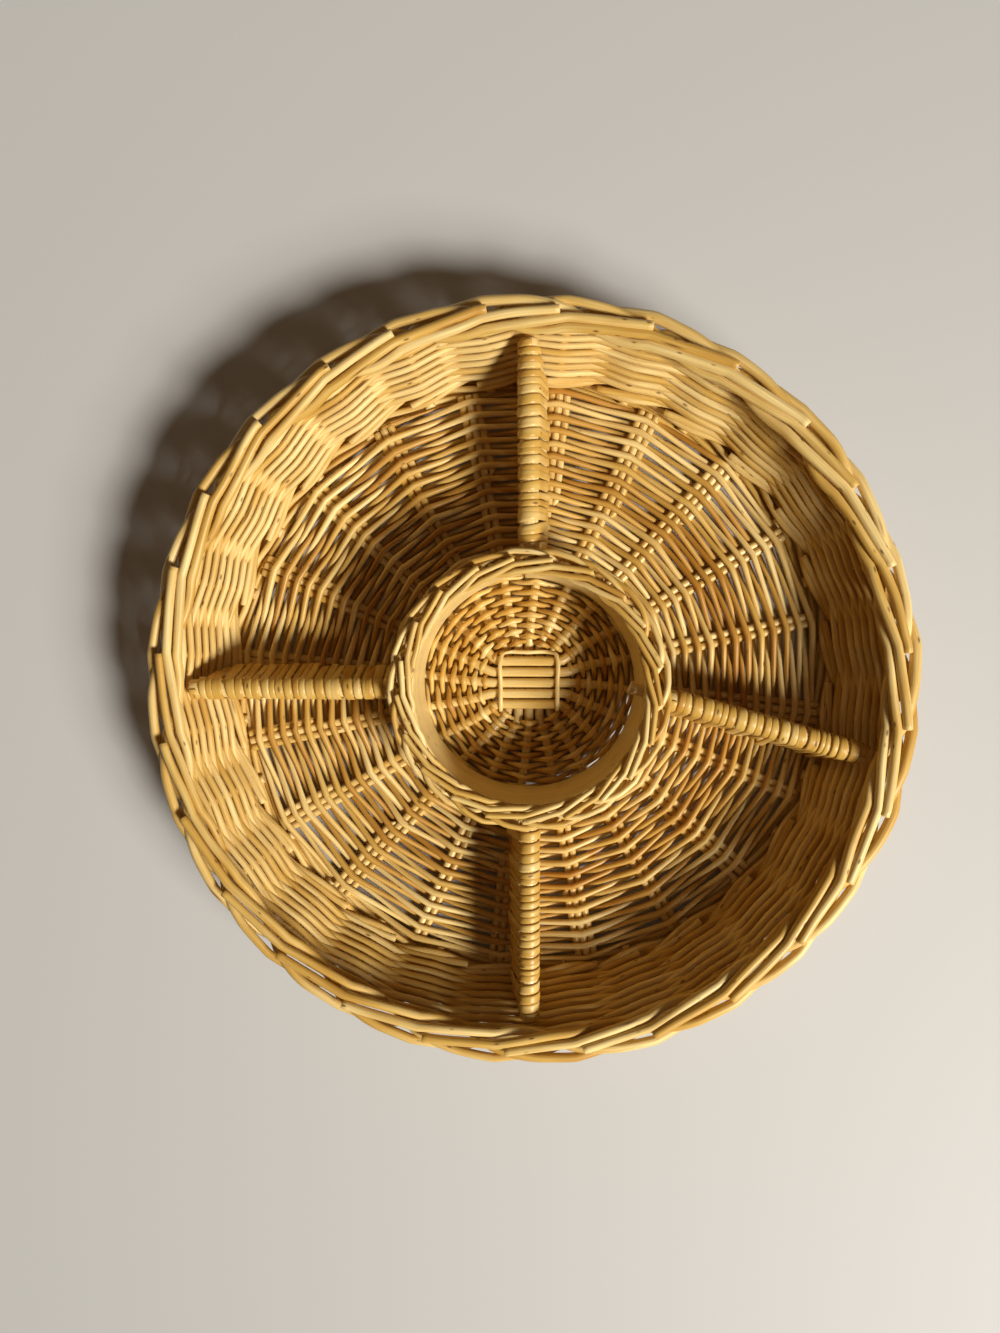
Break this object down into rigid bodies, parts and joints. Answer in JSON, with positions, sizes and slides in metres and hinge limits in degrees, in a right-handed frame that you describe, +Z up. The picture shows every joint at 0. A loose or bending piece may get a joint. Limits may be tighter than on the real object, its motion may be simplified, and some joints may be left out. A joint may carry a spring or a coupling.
{
  "type": "divided wicker serving tray",
  "caption": "Round serving tray woven of peeled willow, with a flared wall, a rolled rod border, a round cup in the middle and skein-wrapped dividers between its compartments.",
  "frame": {"origin": "middle of the base, on the plane that the tray stands on", "axes": "+Z up out of the tray, +Y toward the divider at the top of the picture, +X to its right"},
  "size_m": [0.3774, 0.3774, 0.0577],
  "materials": {
    "willow_rod": "satin lacquer",
    "willow_weaver": "satin lacquer",
    "willow_band": "satin lacquer",
    "willow_skein": "gloss lacquer"
  },
  "bodies": {
    "root": {"base_stick_across_1": "willow_rod", "base_stick_across_2": "willow_rod", "base_stick_across_3": "willow_rod", "base_stick_across_4": "willow_rod", "base_stick_across_5": "willow_rod", "base_stick_along_1": "willow_rod", "base_stick_along_2": "willow_rod", "base_stick_along_3": "willow_rod", "base_stick_along_4": "willow_rod", "base_stick_along_5": "willow_rod", "cup_band": "willow_band", "cup_border": "willow_rod", "cup_floor_weaver_1": "willow_weaver", "cup_floor_weaver_2": "willow_weaver", "cup_wall": "willow_weaver", "divider_1_foot_rod": "willow_rod", "divider_1_top_rod": "willow_rod", "divider_1_winding": "willow_skein", "divider_2_foot_rod": "willow_rod", "divider_2_top_rod": "willow_rod", "divider_2_winding": "willow_skein", "divider_3_foot_rod": "willow_rod", "divider_3_top_rod": "willow_rod", "divider_3_winding": "willow_skein", "divider_4_foot_rod": "willow_rod", "divider_4_top_rod": "willow_rod", "divider_4_winding": "willow_skein", "floor_weaver_1": "willow_weaver", "floor_weaver_2": "willow_weaver", "side_stake_1": "willow_rod", "side_stake_10": "willow_rod", "side_stake_11": "willow_rod", "side_stake_12": "willow_rod", "side_stake_13": "willow_rod", "side_stake_14": "willow_rod", "side_stake_15": "willow_rod", "side_stake_16": "willow_rod", "side_stake_17": "willow_rod", "side_stake_18": "willow_rod", "side_stake_19": "willow_rod", "side_stake_2": "willow_rod", "side_stake_20": "willow_rod", "side_stake_21": "willow_rod", "side_stake_22": "willow_rod", "side_stake_23": "willow_rod", "side_stake_24": "willow_rod", "side_stake_25": "willow_rod", "side_stake_26": "willow_rod", "side_stake_27": "willow_rod", "side_stake_28": "willow_rod", "side_stake_3": "willow_rod", "side_stake_4": "willow_rod", "side_stake_5": "willow_rod", "side_stake_6": "willow_rod", "side_stake_7": "willow_rod", "side_stake_8": "willow_rod", "side_stake_9": "willow_rod", "slath_tie": "willow_weaver", "wall_weave": "willow_weaver"}
  },
  "joints": []
}
